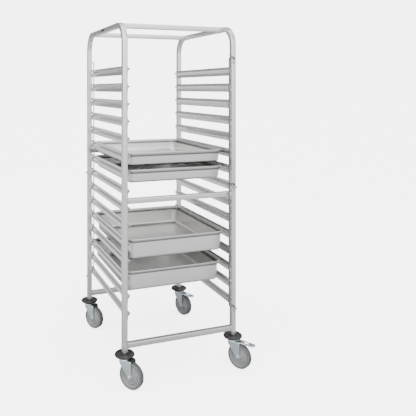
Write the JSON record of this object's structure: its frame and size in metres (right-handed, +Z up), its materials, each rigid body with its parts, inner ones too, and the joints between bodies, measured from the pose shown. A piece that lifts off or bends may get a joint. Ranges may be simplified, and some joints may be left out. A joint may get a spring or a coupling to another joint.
{
  "type": "sheet pan rack",
  "caption": "Mobile stainless rack with ledged side runners for sliding in sheet pans and deep pans, swinging stop bars, round bumpers and swivel casters.",
  "frame": {"origin": "middle of the footprint of the whole rack, wheels and pedals included, on the floor", "axes": "+Z up, -Y the front where pans go in, +X to the right seen from the front"},
  "size_m": [0.6904, 0.855, 1.7135],
  "materials": {
    "stainless_tube": "satin stainless steel tube and wire",
    "runner_steel": "bright rolled stainless steel strip",
    "pan_steel": "pressed stainless steel, satin inside and out",
    "zinc_plate": "bright zinc-plated pressed steel",
    "tyre_rubber": "matt grey non-marking rubber",
    "hub_plastic": "moulded grey plastic",
    "bumper_rubber": "soft black rubber",
    "black_plastic": "moulded black plastic"
  },
  "bodies": {
    "frame": {"front_left_post": "stainless_tube", "front_right_post": "stainless_tube", "rear_left_post": "stainless_tube", "rear_right_post": "stainless_tube", "left_top_rail": "stainless_tube", "right_top_rail": "stainless_tube", "front_top_bar": "stainless_tube", "rear_top_bar": "stainless_tube", "front_middle_bar": "stainless_tube", "rear_middle_bar": "stainless_tube", "front_bottom_bar": "stainless_tube", "rear_bottom_bar": "stainless_tube", "front_middle_bar_left_bolt": "zinc_plate", "front_middle_bar_right_bolt": "zinc_plate", "rear_middle_bar_left_bolt": "zinc_plate", "rear_middle_bar_right_bolt": "zinc_plate", "front_bottom_bar_left_bolt": "zinc_plate", "front_bottom_bar_right_bolt": "zinc_plate", "rear_bottom_bar_left_bolt": "zinc_plate", "rear_bottom_bar_right_bolt": "zinc_plate", "left_upper_runners": "runner_steel", "right_upper_runners": "runner_steel", "left_middle_runners": "runner_steel", "right_middle_runners": "runner_steel", "left_lower_runners": "runner_steel", "right_lower_runners": "runner_steel", "front_left_caster_stem": "zinc_plate", "front_left_bumper": "bumper_rubber", "front_right_caster_stem": "zinc_plate", "front_right_bumper": "bumper_rubber", "rear_left_caster_stem": "zinc_plate", "rear_left_bumper": "bumper_rubber", "rear_right_caster_stem": "zinc_plate", "rear_right_bumper": "bumper_rubber"},
    "front_stop_bar": {"front_stop_bar": "stainless_tube"},
    "rear_stop_bar": {"rear_stop_bar": "stainless_tube"},
    "pan_upper": {"pan_upper": "pan_steel"},
    "pan_second": {"pan_second": "pan_steel"},
    "pan_third": {"pan_third": "pan_steel"},
    "pan_lower": {"pan_lower": "pan_steel"},
    "front_left_swivel": {"front_left_fork": "zinc_plate", "front_left_axle": "zinc_plate", "front_left_fork_guard": "black_plastic"},
    "front_left_wheel": {"front_left_hub": "hub_plastic", "front_left_tyre": "tyre_rubber"},
    "front_right_swivel": {"front_right_fork": "zinc_plate", "front_right_axle": "zinc_plate"},
    "front_right_wheel": {"front_right_hub": "hub_plastic", "front_right_tyre": "tyre_rubber"},
    "front_right_pedal": {"front_right_brake_pedal": "zinc_plate"},
    "rear_left_swivel": {"rear_left_fork": "zinc_plate", "rear_left_axle": "zinc_plate", "rear_left_fork_guard": "black_plastic"},
    "rear_left_wheel": {"rear_left_hub": "hub_plastic", "rear_left_tyre": "tyre_rubber"},
    "rear_right_swivel": {"rear_right_fork": "zinc_plate", "rear_right_axle": "zinc_plate"},
    "rear_right_wheel": {"rear_right_hub": "hub_plastic", "rear_right_tyre": "tyre_rubber"},
    "rear_right_pedal": {"rear_right_brake_pedal": "zinc_plate"}
  },
  "joints": [
    {"name": "front_left_swivel_turn", "type": "hinge", "parent": "frame", "child": "front_left_swivel", "pos_m": [-0.29774, -0.31503, 0.13047], "axis": [0, 0, 1], "continuous": true},
    {"name": "front_left_wheel_roll", "type": "hinge", "parent": "front_left_swivel", "child": "front_left_wheel", "pos_m": [-0.27339, -0.34676, 0.06196], "axis": [0.7934, 0.6088, 0], "continuous": true},
    {"name": "front_right_swivel_turn", "type": "hinge", "parent": "frame", "child": "front_right_swivel", "pos_m": [0.27226, -0.31503, 0.13047], "axis": [0, 0, 1], "continuous": true},
    {"name": "front_right_wheel_roll", "type": "hinge", "parent": "front_right_swivel", "child": "front_right_wheel", "pos_m": [0.29226, -0.34967, 0.06196], "axis": [0.866, 0.5, 0], "continuous": true},
    {"name": "front_right_brake_press", "type": "hinge", "parent": "front_right_swivel", "child": "front_right_pedal", "pos_m": [0.29376, -0.35227, 0.12996], "axis": [0.866, 0.5, 0], "range_deg": [0, 12]},
    {"name": "rear_left_swivel_turn", "type": "hinge", "parent": "frame", "child": "rear_left_swivel", "pos_m": [-0.29774, 0.37997, 0.13047], "axis": [0, 0, 1], "continuous": true},
    {"name": "rear_left_wheel_roll", "type": "hinge", "parent": "rear_left_swivel", "child": "rear_left_wheel", "pos_m": [-0.27655, 0.34605, 0.06196], "axis": [0.848, 0.5299, 0], "continuous": true},
    {"name": "rear_right_swivel_turn", "type": "hinge", "parent": "frame", "child": "rear_right_swivel", "pos_m": [0.27226, 0.37997, 0.13047], "axis": [0, 0, 1], "continuous": true},
    {"name": "rear_right_wheel_roll", "type": "hinge", "parent": "rear_right_swivel", "child": "rear_right_wheel", "pos_m": [0.28594, 0.34238, 0.06196], "axis": [0.9397, 0.342, 0], "continuous": true},
    {"name": "rear_right_brake_press", "type": "hinge", "parent": "rear_right_swivel", "child": "rear_right_pedal", "pos_m": [0.28696, 0.33957, 0.12996], "axis": [0.9397, 0.342, 0], "range_deg": [0, 12]},
    {"name": "front_stop_swing", "type": "hinge", "parent": "frame", "child": "front_stop_bar", "pos_m": [0.27326, -0.33653, 0.9195], "axis": [0, 0, 1], "range_deg": [0, 170]},
    {"name": "rear_stop_swing", "type": "hinge", "parent": "frame", "child": "rear_stop_bar", "pos_m": [-0.29874, 0.40147, 0.9195], "axis": [0, 0, 1], "range_deg": [0, 170]},
    {"name": "pan_upper_slide", "type": "slide", "parent": "frame", "child": "pan_upper", "axis": [0, -1, 0], "range_m": [-0.003, 0.07]},
    {"name": "pan_second_slide", "type": "slide", "parent": "frame", "child": "pan_second", "axis": [0, -1, 0], "range_m": [-0.035, 0.069]},
    {"name": "pan_third_slide", "type": "slide", "parent": "frame", "child": "pan_third", "axis": [0, -1, 0], "range_m": [-0.055, 0.049]},
    {"name": "pan_lower_slide", "type": "slide", "parent": "frame", "child": "pan_lower", "axis": [0, -1, 0], "range_m": [-0.016, 0.088]}
  ]
}
